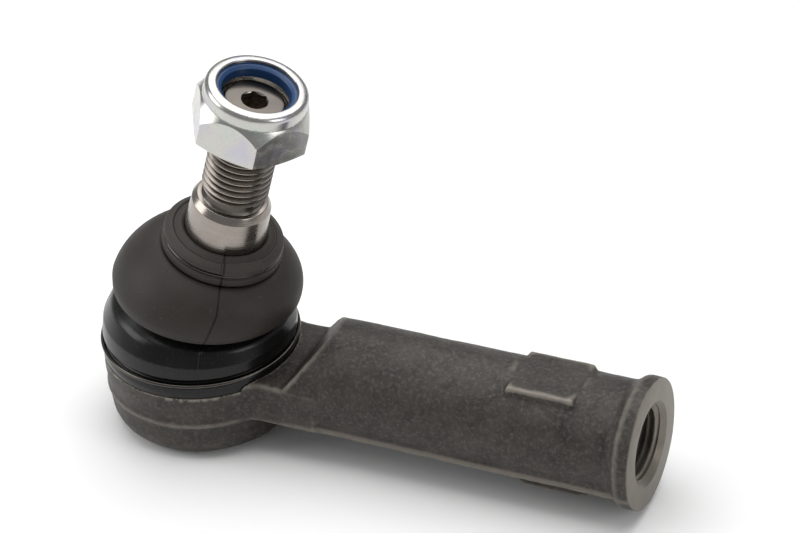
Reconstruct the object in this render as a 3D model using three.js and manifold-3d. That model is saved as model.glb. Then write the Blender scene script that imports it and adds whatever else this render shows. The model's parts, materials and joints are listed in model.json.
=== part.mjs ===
// Tie rod end: a forged steel housing whose cup holds a ball stud in plastic bearing shells, with a
// two-lobed dust boot, its two retaining rings and a self-locking nut on the stud.
// Millimetres, +Z up along the cup's axis, +X along the shank to its threaded mouth. The origin is the
// centre of the end cover's outer face, straight below the ball. Heights named "height" count from the
// ball's centre, along the cup's axis on the housing and along the stud's own axis on the stud.
import * as THREE from "three";
import { mergeVertices } from "three/addons/utils/BufferGeometryUtils.js";
import Module from "manifold-3d";

const wasm = await Module();
wasm.setup();

// ---- clearances
const FIT_GAP = 0.3; // between pieces that slide, turn or are pressed together
const SEAT_GAP = 0.05; // between faces that rest on each other
const NECK_GAP = 0.4; // between the stud's neck and the cup's mouth at full swing
const PAST = 1; // how far a hollow's solid runs past the face that it opens

// ---- ball, bearing and end cover
const BALL_RADIUS = 12.5;
const BEARING_WALL = 1.9;
const BEARING_FLOOR = 1.4; // plastic left under the ball
const BEARING_DRAIN_RADIUS = 3; // grease hole in the lower shell
const SPRING_THICKNESS = 0.7;
const SPRING_CONE = 0.8; // free height of the disc spring over its thickness
const SPRING_HOLE_RADIUS = 6;
const COVER_THICKNESS = 1.8;
const COVER_LAND = 0.6; // how far the cover stands out over the bearing's bore, to seat on a shoulder
const LIP_THICKNESS = 0.8; // of the housing's edge rolled in under the cover
const LIP_OVERLAP = 2.8; // how far the rolled edge reaches in under the cover
const BEAD_INSET = 3; // from the rolled edge in to the ring pressed into the cover
const BEAD_WIDTH = 1.2;
const BEAD_DEPTH = 0.4;
const SHELL_CHAMFER = 1.5; // at the foot of the lower shell, and the spring's gap to the bore

// ---- ball stud
const STUD_TILT = 16; // degrees, towards the shank
const SWING_LIMIT = 28; // degrees, half angle of the cone that the stud can move in
const STUD_NECK_RADIUS = 6.2;
const NECK_LENGTH = 4; // straight neck above the ball
const COLLAR_RISE = 11.7; // from the cup's mouth up to the collar, room for the boot to fold
const COLLAR_STEP = 0.36; // how far the collar stands out from the taper
const COLLAR_LENGTH = 2.4;
const COLLAR_CHAMFER = 0.6;
const TAPER_LENGTH = 14.8;
const TAPER_RATE = 0.1; // on the diameter, 1 in 10
const SHOULDER_LENGTH = 1.1; // chamfer from the taper in to the relief
const SHOULDER_STEP = 1.2; // how far the taper's small end stands out from the thread
const RELIEF_LENGTH = 1.9;
const RELIEF_DEPTH = 0.9;
const THREAD_RADIUS = 7; // M14
const THREAD_LENGTH = 23.5;
const TIP_CHAMFER = 0.9;
const SOCKET_ACROSS_FLATS = 5;
const SOCKET_DEPTH = 6;

// ---- self-locking nut
const NUT_STANDOFF = 15.2; // from the foot of the thread to the nut's bearing face
const NUT_WALL = 4; // from the thread out to the flats, 22 across them
const NUT_HEX_HEIGHT = 8.5;
const NUT_CHAMFER_DROP = 2.7; // of the top chamfer, from the flats' middle down to the corners
const NUT_FOOT_CHAMFER = 0.8;
const NUT_COLLAR_INSET = 0.1; // of the round collar from the flats
const NUT_COLLAR_WALL = 2.0;
const NUT_COLLAR_HEIGHT = 3.5;
const NUT_COLLAR_ROUND = 1.3;
const NUT_RIM_ROLL = 0.6; // how far the collar's edge is rolled in over the insert
const NUT_RIM_THICKNESS = 0.8;
const INSERT_BORE_GAP = 0.2;

// ---- housing
const CUP_WALL = 5.6;
const CUP_DRAFT = 1.1;
const CUP_CORNER_STEP = 0.15; // the corner's radius is this much under the wall, so that it clears the cover
const CUP_BAND = 3.5; // height of the straight part of the cup's side
const RIM_DROP = 1; // from the ball's centre down to the face that the boot stands on
const RIM_CHAMFER = 0.7;
const MOUTH_WALL = 2; // of the neck inside the boot
const MOUTH_THICKNESS = 1.4;
const SHANK_DROP = 3; // from the ball's centre down to the shank's axis
const SHANK_RADIUS = 12.2;
const SHANK_REACH = 100.5; // from the stud's axis to the flange's face
const SADDLE_GAP = 3.4; // from the cup's side to where the shank's shoulder starts to rise
const SADDLE_RUN = 7.5; // how far the shoulder takes to rise
const SADDLE_ROUND = 1.5;
const WEB_FILLET = 4.5;
const WEB_DEPTH = 9;
const FLANGE_STEP = 1.55; // how far the flange stands out from the shank
const FLANGE_LAND = 2.3;
const FLANGE_FLARE = 3.4;
const FLANGE_CHAMFER = 0.3;
const SOCKET_THREAD_RADIUS = 7.19; // M16 x 1.5, at the crests of the female thread
const SOCKET_THREAD_DEPTH = 40;
const COUNTERSINK_STEP = 1.86;
const DRILL_POINT = 4;
const LUG_SINK = 0.4; // of the spanner flats below the shank's own crown
const LUG_HALF_WIDTH = 6.9;
const LUG_LENGTH = 16.8;
const LUG_RAMP = 1.5;
const LUG_SIDE = 2; // height of the lugs' end faces
const TOP_LUG_START = 29.6; // back from the flange's face to the far end of the upper lug
const BOTTOM_LUG_START = 27.4;

// ---- dust boot, drawn as it stands when the stud is upright
const BOOT_BASE_WALL = 3.4;
const BOOT_BASE_HEIGHT = 3.1;
const BOOT_WALL = 1.7;
const RING_WIRE_RADIUS = 0.5;
const RING_HEIGHT = 2.35; // of the lower ring's wire above the cup's rim
const WAIST_RISE_SHARE = 0.2353; // of the mouth's radius, so that the boot clears the mouth when bent
const WAIST_TUCK = 5.4; // how far the waist lies inside the lower lobe
const WAIST_HEIGHT = 1.8;
const WAIST_HOLLOW = 0.4;
const UPPER_LOBE_INSET = 0.5; // of the upper lobe's outside from the base's
const FOLD_RISE = 0.6; // from the waist's foot up to the upper lobe's lower edge
const DOME_WIDTH = 9.9; // of the upper lobe's rounded top
const DOME_RISE = 1.3; // from the fold up to the lobe's widest place
const CROWN_RISE = 1.4; // from the taper's foot up to the groove between the lobe and the lip
const CROWN_DEPTH = 3; // of the upper lobe's top, which leans with the stud as one piece
const LIP_WALL = 3.26;
const LIP_HEIGHT = 6.5;
const LIP_GROOVE_RISE = 3.4; // from the lip's foot to the middle of its groove
const LIP_GROOVE_DEPTH = 1.1;
const LIP_ROUND = 0.9;

// ---- facets
const ROUND = 36; // on the large turned pieces
const SMALL_ROUND = 24;
const WIRE_SIDES = 6;
const CORNER_STEPS = 5;
const BALL_STEPS = 12;
const SEAT_STEPS = 5;
const DOME_STEPS = 7;

// ---- places worked out from the sizes above
const bearingInner = BALL_RADIUS + FIT_GAP;
const bearingOuter = bearingInner + BEARING_WALL;
const cupBore = bearingOuter + FIT_GAP;
const cupRadius = cupBore + CUP_WALL;
const mouthRadius = cupBore + MOUTH_WALL;
const coverSeat = cupBore + COVER_LAND + FIT_GAP; // wall around the cover
const coverRadius = cupBore + COVER_LAND;
const bearingFoot = -(bearingInner + BEARING_FLOOR);
const springTop = bearingFoot - SEAT_GAP;
const springFoot = springTop - SPRING_THICKNESS - SPRING_CONE;
const coverTop = springFoot - SEAT_GAP;
const coverFoot = coverTop - COVER_THICKNESS;
const ballHeight = -coverFoot; // the origin lies on the cover's outer face
const cupFoot = coverFoot - SEAT_GAP - LIP_THICKNESS;
const cupCorner = CUP_WALL - CUP_CORNER_STEP;
const cupFootRadius = cupRadius - CUP_DRAFT - cupCorner;
const rimHeight = -RIM_DROP;

// The cup's mouth is a cone that the stud's neck just clears at full swing. Its lower edge lies where
// that cone leaves the ball's seat.
const swing = THREE.MathUtils.degToRad(SWING_LIMIT);
const mouthSlope = Math.tan(swing);
const mouthOffset = STUD_NECK_RADIUS / Math.cos(swing) + NECK_GAP;
const mouthAt = (height) => height * mouthSlope + mouthOffset;
const slopeSquare = 1 + mouthSlope ** 2;
const mouthTerm = mouthSlope * mouthOffset;
const seatSquare = mouthOffset ** 2 - bearingInner ** 2;
const seatTop = (Math.sqrt(mouthTerm ** 2 - slopeSquare * seatSquare) - mouthTerm) / slopeSquare;
const shoulderHeight = seatTop + FIT_GAP;
const mouthTop = shoulderHeight + MOUTH_THICKNESS;

const collarHeight = mouthTop + COLLAR_RISE;
const taperBaseHeight = collarHeight + COLLAR_LENGTH;
const taperTopHeight = taperBaseHeight + TAPER_LENGTH;
const taperTopRadius = THREAD_RADIUS + SHOULDER_STEP;
const taperBaseRadius = taperTopRadius + (TAPER_LENGTH * TAPER_RATE) / 2;
const collarRadius = taperBaseRadius + COLLAR_STEP;
const reliefRadius = THREAD_RADIUS - RELIEF_DEPTH;
const threadFootHeight = taperTopHeight + SHOULDER_LENGTH + RELIEF_LENGTH;
const tipHeight = threadFootHeight + THREAD_LENGTH;

const nutFlat = THREAD_RADIUS + NUT_WALL;
const nutCorner = nutFlat / Math.cos(Math.PI / 6);
const nutBore = THREAD_RADIUS + FIT_GAP;
const nutCollarRadius = nutFlat - NUT_COLLAR_INSET;
const nutRecess = nutCollarRadius - NUT_COLLAR_WALL;
const nutFoot = threadFootHeight + NUT_STANDOFF;
const nutShelf = nutFoot + NUT_HEX_HEIGHT;
const nutTop = nutShelf + NUT_COLLAR_HEIGHT;

const saddleReach = cupRadius + SADDLE_GAP;
const flangeRadius = SHANK_RADIUS + FLANGE_STEP;
const countersinkRadius = SOCKET_THREAD_RADIUS + COUNTERSINK_STEP;
const lugHeight = SHANK_RADIUS - LUG_SINK;

const bootBore = mouthRadius + FIT_GAP;
const bootBaseRadius = bootBore + BOOT_BASE_WALL - FIT_GAP;
const bootBaseTop = rimHeight + BOOT_BASE_HEIGHT;
const wireHeight = rimHeight + RING_HEIGHT;
const bandHalf = RING_WIRE_RADIUS + 0.1; // half the width of the grooves that the ring wires lie in
const waistHeight = mouthTop + mouthRadius * WAIST_RISE_SHARE;
const waistRadius = bootBaseRadius - WAIST_TUCK;
const upperLobeRadius = bootBaseRadius - UPPER_LOBE_INSET;
const foldHeight = waistHeight + FOLD_RISE;
const crownHeight = taperBaseHeight + CROWN_RISE;
const lipBore = taperBaseRadius + FIT_GAP;
const lipRadius = lipBore + LIP_WALL;
const lipTop = crownHeight + LIP_HEIGHT;
const lipGrooveHeight = crownHeight + LIP_GROOVE_RISE;

// ---- from geometry to manifold solids and back

function plain(geometry) {
  const bare = geometry.index ? geometry.toNonIndexed() : geometry.clone();
  bare.deleteAttribute("normal");
  bare.deleteAttribute("uv");
  return mergeVertices(bare, 1e-4);
}

// A geometry as a solid, turned the right way out if its profile ran the other way.
function solid(geometry) {
  const merged = plain(geometry);
  const triVerts = new Uint32Array(merged.index.array);
  const vertProperties = new Float32Array(merged.attributes.position.array);
  const made = new wasm.Manifold(new wasm.Mesh({ numProp: 3, vertProperties, triVerts }));
  if (made.volume() > 0) return made;
  const turned = triVerts.slice();
  for (let i = 0; i < turned.length; i += 3) {
    turned[i + 1] = triVerts[i + 2];
    turned[i + 2] = triVerts[i + 1];
  }
  return new wasm.Manifold(new wasm.Mesh({ numProp: 3, vertProperties, triVerts: turned }));
}

function geometryOf(body) {
  const mesh = body.getMesh();
  const positions = new Float32Array(mesh.numVert * 3);
  for (let i = 0; i < mesh.numVert; i += 1) {
    const from = i * mesh.numProp;
    positions.set(mesh.vertProperties.subarray(from, from + 3), i * 3);
  }
  const geometry = new THREE.BufferGeometry();
  geometry.setAttribute("position", new THREE.BufferAttribute(positions, 3));
  geometry.setIndex(new THREE.BufferAttribute(new Uint32Array(mesh.triVerts), 1));
  return geometry;
}

// ---- shapes

// A profile of [radius, height] points turned about +Z.
function turnedZ(profile, sides = ROUND) {
  const points = profile.map(([radius, height]) => new THREE.Vector2(radius, height));
  return new THREE.LatheGeometry(points, sides).rotateX(Math.PI / 2);
}

// The same about +X: the height becomes the reach along the shank.
function turnedX(profile, sides = ROUND) {
  return turnedZ(profile, sides).rotateY(Math.PI / 2);
}

// A ring's profile closes on itself.
const ring = (profile) => [...profile, profile[0]];

// Points on an arc about [r, h], from one angle to another in degrees, 0 pointing outwards.
function arc(r, h, radius, from, to, steps) {
  const points = [];
  for (let i = 0; i <= steps; i += 1) {
    const angle = THREE.MathUtils.degToRad(from + ((to - from) * i) / steps);
    points.push([r + radius * Math.cos(angle), h + radius * Math.sin(angle)]);
  }
  return points;
}

// Points on a sphere about the ball's centre, between two heights.
function sphereArc(radius, fromHeight, toHeight, steps) {
  const from = THREE.MathUtils.radToDeg(Math.asin(fromHeight / radius));
  const to = THREE.MathUtils.radToDeg(Math.asin(toHeight / radius));
  return arc(0, 0, radius, from, to, steps);
}

// A six-sided bar about +Z with two of its corners on the X axis, between two heights.
function hexPrism(corner, low, high) {
  const bar = new THREE.CylinderGeometry(corner, corner, high - low, 6).rotateY(Math.PI / 6);
  return bar.rotateX(Math.PI / 2).translate(0, 0, (low + high) / 2);
}

// A shape drawn in X and Z, extruded to both sides of the XZ plane.
function slabXZ(points, halfWidth) {
  const shape = new THREE.Shape(points.map(([x, z]) => new THREE.Vector2(x, z)));
  const slab = new THREE.ExtrudeGeometry(shape, { depth: 2 * halfWidth, bevelEnabled: false });
  return slab.rotateX(Math.PI / 2).translate(0, halfWidth, 0);
}

// ---- housing

function cupSolid() {
  const wallFoot = cupFoot + cupCorner;
  return solid(
    turnedZ([
      [0, cupFoot],
      ...arc(cupFootRadius, wallFoot, cupCorner, -90, 0, CORNER_STEPS),
      [cupRadius, rimHeight - CUP_BAND],
      [cupRadius, rimHeight - RIM_CHAMFER],
      [cupRadius - RIM_CHAMFER, rimHeight],
      [mouthRadius, rimHeight],
      [mouthRadius, mouthTop - RIM_CHAMFER],
      [mouthRadius - RIM_CHAMFER, mouthTop],
      [0, mouthTop],
    ]),
  );
}

function cupHollow() {
  return solid(
    turnedZ([
      [0, cupFoot - PAST],
      [coverRadius - LIP_OVERLAP, cupFoot - PAST],
      [coverRadius - LIP_OVERLAP, coverFoot - SEAT_GAP],
      [coverSeat, coverFoot - SEAT_GAP],
      [coverSeat, coverTop + SEAT_GAP],
      [cupBore, coverTop + SEAT_GAP],
      [cupBore, shoulderHeight],
      [mouthAt(shoulderHeight), shoulderHeight],
      [mouthAt(mouthTop + PAST), mouthTop + PAST],
      [0, mouthTop + PAST],
    ]),
  );
}

function shankSolid() {
  const flangeBack = SHANK_REACH - FLANGE_LAND;
  const flareStart = flangeBack - FLANGE_FLARE;
  const flare = [];
  const steps = 3;
  for (let i = 0; i <= steps; i += 1) {
    const share = i / steps;
    flare.push([SHANK_RADIUS + FLANGE_STEP * share ** 2, flareStart + FLANGE_FLARE * share]);
  }
  return solid(
    turnedX([
      [0, 0],
      [SHANK_RADIUS, 0],
      ...flare,
      [flangeRadius, SHANK_REACH - FLANGE_CHAMFER],
      [flangeRadius - FLANGE_CHAMFER, SHANK_REACH],
      [0, SHANK_REACH],
    ]).translate(0, 0, -SHANK_DROP),
  );
}

// The space above the web, between the boot and the shank's shoulder.
function saddleCut() {
  const crown = SHANK_RADIUS - SHANK_DROP;
  const end = saddleReach + SADDLE_RUN;
  return solid(
    slabXZ(
      [
        [-PAST, rimHeight],
        [saddleReach - SADDLE_ROUND, rimHeight],
        [saddleReach + SADDLE_ROUND / 2, rimHeight + SADDLE_ROUND / 2],
        [end - SADDLE_ROUND, crown - SADDLE_ROUND],
        [end + SADDLE_ROUND, crown],
        [end + SADDLE_ROUND, crown + SHANK_RADIUS],
        [-PAST, crown + SHANK_RADIUS],
      ],
      2 * SHANK_RADIUS,
    ),
  );
}

// The web's outline from above: the shank's width, with a fillet out to the cup on each side.
function webSolid() {
  const filletY = SHANK_RADIUS + WEB_FILLET;
  const filletX = Math.sqrt((cupRadius + WEB_FILLET) ** 2 - filletY ** 2);
  const cupAngle = Math.atan2(filletY, filletX);
  const touchX = cupRadius * Math.cos(cupAngle);
  const touchY = cupRadius * Math.sin(cupAngle);
  const side = [];
  const steps = CORNER_STEPS;
  const from = cupAngle + Math.PI;
  const to = 1.5 * Math.PI;
  for (let i = 0; i <= steps; i += 1) {
    const angle = from + ((to - from) * i) / steps;
    side.push([filletX + WEB_FILLET * Math.cos(angle), filletY + WEB_FILLET * Math.sin(angle)]);
  }
  side.unshift([0, touchY], [touchX - PAST, touchY]);
  side.push([filletX + PAST, SHANK_RADIUS - SEAT_GAP]);
  const outline = [...side, ...side.map(([x, y]) => [x, -y]).reverse()];
  const shape = new THREE.Shape(outline.map(([x, y]) => new THREE.Vector2(x, y)));
  const slab = new THREE.ExtrudeGeometry(shape, { depth: WEB_DEPTH, bevelEnabled: false });
  return solid(slab.translate(0, 0, rimHeight - WEB_DEPTH));
}

// A spanner lug above (side 1) or below (side -1) the shank, with its far end at the given reach.
function lugSolid(start, side) {
  const end = start + LUG_LENGTH;
  const foot = SHANK_RADIUS / 2;
  const points = [
    [start, foot],
    [start, lugHeight - LUG_SIDE],
    [start + LUG_RAMP, lugHeight],
    [end - LUG_RAMP, lugHeight],
    [end, lugHeight - LUG_SIDE],
    [end, foot],
  ];
  const placed = points.map(([x, z]) => [x, side * z - SHANK_DROP]);
  return solid(slabXZ(placed, LUG_HALF_WIDTH));
}

// The flat takes a little off the crown of the shank.
function lugFlatCut(start, side) {
  const from = start + LUG_RAMP;
  const to = start + LUG_LENGTH - LUG_RAMP;
  const low = side * lugHeight - SHANK_DROP;
  const high = side * (SHANK_RADIUS + PAST) - SHANK_DROP;
  const box = [
    [from, low],
    [to, low],
    [to, high],
    [from, high],
  ];
  return solid(slabXZ(box, SHANK_RADIUS));
}

function socketHollow() {
  const foot = SHANK_REACH - SOCKET_THREAD_DEPTH;
  return solid(
    turnedX(
      [
        [0, foot - DRILL_POINT],
        [SOCKET_THREAD_RADIUS, foot],
        [SOCKET_THREAD_RADIUS, SHANK_REACH - COUNTERSINK_STEP],
        [countersinkRadius, SHANK_REACH],
        [countersinkRadius, SHANK_REACH + PAST],
        [0, SHANK_REACH + PAST],
      ],
      SMALL_ROUND,
    ).translate(0, 0, -SHANK_DROP),
  );
}

function housingGeometry() {
  const lugs = [
    [SHANK_REACH - TOP_LUG_START, 1],
    [SHANK_REACH - BOTTOM_LUG_START, -1],
  ];
  let shank = shankSolid();
  for (const [start, side] of lugs) {
    shank = shank.subtract(lugFlatCut(start, side)).add(lugSolid(start, side));
  }
  shank = shank.subtract(saddleCut());
  const whole = cupSolid().add(shank).add(webSolid());
  return geometryOf(whole.subtract(cupHollow()).subtract(socketHollow()));
}

// ---- bearing, spring and cover

function bearingUpperGeometry() {
  return turnedZ(
    ring([
      ...sphereArc(bearingInner, SEAT_GAP, seatTop - SEAT_GAP, SEAT_STEPS),
      [bearingOuter, seatTop - SEAT_GAP],
      [bearingOuter, SEAT_GAP],
    ]),
  );
}

function bearingLowerGeometry() {
  const drainHeight = -Math.sqrt(bearingInner ** 2 - BEARING_DRAIN_RADIUS ** 2);
  return turnedZ(
    ring([
      [BEARING_DRAIN_RADIUS, bearingFoot],
      [bearingOuter - SHELL_CHAMFER, bearingFoot],
      [bearingOuter, bearingFoot + SHELL_CHAMFER],
      [bearingOuter, -SEAT_GAP],
      ...sphereArc(bearingInner, -SEAT_GAP, drainHeight, SEAT_STEPS + 2),
    ]),
  );
}

function springGeometry() {
  const edge = cupBore - SHELL_CHAMFER;
  return turnedZ(
    ring([
      [SPRING_HOLE_RADIUS, springTop - SPRING_THICKNESS],
      [edge, springFoot],
      [edge, springFoot + SPRING_THICKNESS],
      [SPRING_HOLE_RADIUS, springTop],
    ]),
    SMALL_ROUND,
  );
}

// A pressed disc with a shallow bead around its flat middle.
function coverGeometry() {
  const beadRadius = coverRadius - LIP_OVERLAP - BEAD_INSET;
  return turnedZ([
    [0, coverFoot],
    [beadRadius - BEAD_WIDTH, coverFoot],
    [beadRadius, coverFoot + BEAD_DEPTH],
    [beadRadius + BEAD_WIDTH, coverFoot],
    [coverRadius, coverFoot],
    [coverRadius, coverTop],
    [0, coverTop],
  ]);
}

// ---- ball stud, about its own axis

function studGeometry() {
  const neckFoot = Math.sqrt(BALL_RADIUS ** 2 - STUD_NECK_RADIUS ** 2);
  const shoulderTop = taperTopHeight + SHOULDER_LENGTH;
  const body = solid(
    turnedZ([
      ...sphereArc(BALL_RADIUS, -BALL_RADIUS, neckFoot, BALL_STEPS),
      [STUD_NECK_RADIUS, neckFoot + NECK_LENGTH],
      [collarRadius - COLLAR_CHAMFER, collarHeight - COLLAR_CHAMFER],
      [collarRadius, collarHeight],
      [collarRadius, taperBaseHeight - COLLAR_STEP],
      [taperBaseRadius, taperBaseHeight],
      [taperTopRadius, taperTopHeight],
      [reliefRadius, shoulderTop],
      [reliefRadius, threadFootHeight],
      [THREAD_RADIUS, threadFootHeight + RELIEF_DEPTH],
      [THREAD_RADIUS, tipHeight - TIP_CHAMFER],
      [THREAD_RADIUS - TIP_CHAMFER, tipHeight],
      [0, tipHeight],
    ]),
  );
  const corner = SOCKET_ACROSS_FLATS / 2 / Math.cos(Math.PI / 6);
  const socket = hexPrism(corner, tipHeight - SOCKET_DEPTH, tipHeight + PAST);
  return geometryOf(body.subtract(solid(socket)));
}

// ---- nut, about the stud's axis

function nutGeometry() {
  const outside = nutCorner + SEAT_GAP;
  const chamfers = turnedZ([
    [0, nutFoot],
    [nutCollarRadius, nutFoot],
    [outside, nutFoot + NUT_FOOT_CHAMFER],
    [outside, nutShelf - NUT_CHAMFER_DROP],
    [nutFlat, nutShelf],
    [0, nutShelf],
  ]);
  const collar = turnedZ([
    [0, nutShelf - PAST],
    [nutCollarRadius, nutShelf - PAST],
    ...arc(nutCollarRadius - NUT_COLLAR_ROUND, nutTop - NUT_COLLAR_ROUND, NUT_COLLAR_ROUND, 0, 90, 3),
    [0, nutTop],
  ]);
  const hollow = turnedZ([
    [0, nutFoot - PAST],
    [nutBore + NUT_FOOT_CHAMFER, nutFoot - PAST],
    [nutBore + NUT_FOOT_CHAMFER, nutFoot],
    [nutBore, nutFoot + NUT_FOOT_CHAMFER],
    [nutBore, nutShelf],
    [nutRecess, nutShelf],
    [nutRecess, nutTop - NUT_RIM_THICKNESS],
    [nutRecess - NUT_RIM_ROLL, nutTop - NUT_RIM_THICKNESS],
    [nutRecess - NUT_RIM_ROLL, nutTop + PAST],
    [0, nutTop + PAST],
  ]);
  const hex = solid(hexPrism(nutCorner, nutFoot, nutShelf)).intersect(solid(chamfers));
  return geometryOf(hex.add(solid(collar)).subtract(solid(hollow)));
}

function nutInsertGeometry() {
  const outer = nutRecess - FIT_GAP;
  const inner = THREAD_RADIUS + INSERT_BORE_GAP;
  const low = nutShelf + SEAT_GAP;
  const high = nutTop - NUT_RIM_THICKNESS - SEAT_GAP;
  return turnedZ(
    ring([
      [inner, low],
      [outer, low],
      [outer, high],
      [inner, high],
    ]),
  );
}

// ---- dust boot

// The share of the stud's tilt that the boot has taken up at a height: none at its base, all at its crown.
function bendShare(height) {
  const crownFoot = crownHeight - CROWN_DEPTH;
  return THREE.MathUtils.clamp((height - bootBaseTop) / (crownFoot - bootBaseTop), 0, 1);
}

// Leans a turned piece over with the stud, about the ball's centre.
function bent(geometry) {
  const position = geometry.attributes.position;
  const point = new THREE.Vector3();
  const axis = new THREE.Vector3(0, 1, 0);
  for (let i = 0; i < position.count; i += 1) {
    point.fromBufferAttribute(position, i);
    const angle = THREE.MathUtils.degToRad(STUD_TILT) * bendShare(point.z);
    point.applyAxisAngle(axis, angle);
    position.setXYZ(i, point.x, point.y, point.z);
  }
  return geometry;
}

function bootBaseGeometry() {
  const seat = bootBaseRadius - RING_WIRE_RADIUS - FIT_GAP;
  const foot = rimHeight + SEAT_GAP;
  return turnedZ(
    ring([
      [bootBore, foot],
      [bootBaseRadius, foot],
      [bootBaseRadius, wireHeight - bandHalf],
      [seat, wireHeight - bandHalf],
      [seat, wireHeight + bandHalf],
      [bootBore, wireHeight + bandHalf],
    ]),
  );
}

// The lower lobe swells a little above the ring, then turns in over the cup's mouth to the waist.
function bootLowerGeometry() {
  const foot = wireHeight + bandHalf + FIT_GAP;
  const top = waistHeight - FIT_GAP;
  const shoulder = (foot + top) / 2;
  const neck = waistRadius + BOOT_WALL;
  const inner = bootBaseRadius - BOOT_WALL;
  const turn = [];
  for (let i = 0; i <= DOME_STEPS; i += 1) {
    const angle = ((Math.PI / 2) * i) / DOME_STEPS;
    turn.push([
      neck + (bootBaseRadius - neck) * Math.cos(angle),
      foot + (shoulder - foot) / 2 + (top - foot - (shoulder - foot) / 2) * Math.sin(angle),
    ]);
  }
  return bent(
    turnedZ(
      ring([
        [inner, foot],
        [bootBaseRadius - FIT_GAP, foot],
        ...turn,
        [waistRadius, top],
        [waistRadius, top - BOOT_WALL],
        [inner - FIT_GAP, mouthTop + FIT_GAP],
        [inner, shoulder],
      ]),
    ),
  );
}

function bootWaistGeometry() {
  const top = waistHeight + WAIST_HEIGHT;
  const inner = waistRadius - WAIST_HOLLOW;
  const outer = waistRadius + BOOT_WALL;
  return bent(
    turnedZ(
      ring([
        [inner, waistHeight],
        [outer, waistHeight],
        [outer - WAIST_HOLLOW, (waistHeight + top) / 2],
        [outer, top],
        [inner, top],
      ]),
    ),
  );
}

// The upper lobe is a mushroom: a dome whose edge folds down around the waist.
function bootUpperGeometry() {
  const domeRadius = upperLobeRadius - DOME_WIDTH;
  const domeFoot = foldHeight + DOME_RISE;
  const rise = crownHeight - domeFoot;
  const underFold = waistHeight + WAIST_HEIGHT + FIT_GAP;
  const outline = [];
  const sweep = 80;
  for (let i = 0; i <= DOME_STEPS; i += 1) {
    const angle = THREE.MathUtils.degToRad((sweep * i) / DOME_STEPS);
    outline.push([domeRadius + DOME_WIDTH * Math.cos(angle), domeFoot + rise * Math.sin(angle)]);
  }
  return bent(
    turnedZ(
      ring([
        [upperLobeRadius - WAIST_HOLLOW, foldHeight],
        ...outline,
        [collarRadius + FIT_GAP, crownHeight - FIT_GAP],
        [collarRadius + FIT_GAP, crownHeight - BOOT_WALL],
        [domeRadius + BOOT_WALL, crownHeight - FIT_GAP - BOOT_WALL],
        [upperLobeRadius - 2 * BOOT_WALL, underFold + BOOT_WALL],
        [waistRadius - WAIST_HOLLOW, underFold],
        [waistRadius + BOOT_WALL, underFold],
        [upperLobeRadius - BOOT_WALL, foldHeight],
      ]),
    ),
  );
}

function bootLipGeometry() {
  const seat = lipRadius - LIP_GROOVE_DEPTH;
  return turnedZ(
    ring([
      [lipBore, crownHeight],
      [lipRadius - LIP_ROUND, crownHeight],
      [lipRadius, crownHeight + LIP_ROUND],
      [lipRadius, lipGrooveHeight - bandHalf],
      [seat, lipGrooveHeight - bandHalf],
      [seat, lipGrooveHeight + bandHalf],
      [lipRadius, lipGrooveHeight + bandHalf],
      [lipRadius, lipTop - LIP_ROUND],
      [lipRadius - LIP_ROUND, lipTop],
      [lipBore + LIP_ROUND, lipTop],
      [lipBore, lipTop - LIP_ROUND],
    ]),
  );
}

// A round wire bent into a closed ring.
function wireRing(radius, height) {
  const turned = new THREE.TorusGeometry(radius, RING_WIRE_RADIUS, WIRE_SIDES, ROUND);
  return turned.translate(0, 0, height);
}

const lowerRingRadius = bootBaseRadius + SEAT_GAP + FIT_GAP / 2;
const upperRingRadius = lipRadius - LIP_GROOVE_DEPTH + RING_WIRE_RADIUS + FIT_GAP;

// ---- finishes and assembly

const finish = (color, roughness, metalness) =>
  new THREE.MeshStandardMaterial({ color, roughness, metalness });
const FORGED = finish(0x45403b, 0.75, 0.5);
const BRIGHT = finish(0x9a948c, 0.3, 1);
const ZINC = finish(0xb9bab6, 0.3, 1);
const SPRING_WIRE = finish(0x3a3a3a, 0.4, 0.8);
const RUBBER = finish(0x33302d, 0.8, 0);
const BEARING_PLASTIC = finish(0xe6e3d8, 0.5, 0);
const NYLON = finish(0x2d5f9e, 0.45, 0);

function piece(name, geometry, material) {
  const mesh = new THREE.Mesh(geometryOf(solid(geometry)), material);
  mesh.name = name;
  return mesh;
}

const group = new THREE.Group();
const socket = new THREE.Group(); // everything is placed about the ball's centre
socket.position.z = ballHeight;
const stud = new THREE.Group(); // leans with the ball stud
stud.rotation.y = THREE.MathUtils.degToRad(STUD_TILT);
group.add(socket);
socket.add(stud);

socket.add(
  piece("housing", housingGeometry(), FORGED),
  piece("end_cover", coverGeometry(), ZINC),
  piece("preload_spring", springGeometry(), SPRING_WIRE),
  piece("bearing_lower", bearingLowerGeometry(), BEARING_PLASTIC),
  piece("bearing_upper", bearingUpperGeometry(), BEARING_PLASTIC),
  piece("boot_base", bootBaseGeometry(), RUBBER),
  piece("boot_lower_lobe", bootLowerGeometry(), RUBBER),
  piece("boot_waist", bootWaistGeometry(), RUBBER),
  piece("boot_upper_lobe", bootUpperGeometry(), RUBBER),
  piece("boot_lower_ring", wireRing(lowerRingRadius, wireHeight), SPRING_WIRE),
);
stud.add(
  piece("ball_stud", studGeometry(), BRIGHT),
  piece("boot_lip", bootLipGeometry(), RUBBER),
  piece("boot_upper_ring", wireRing(upperRingRadius, lipGrooveHeight), SPRING_WIRE),
  piece("nut_body", nutGeometry(), ZINC),
  piece("nut_insert", nutInsertGeometry(), NYLON),
);

export default group;
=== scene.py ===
import json
import math

import bmesh
import bpy
from mathutils import Matrix, Vector, noise


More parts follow.
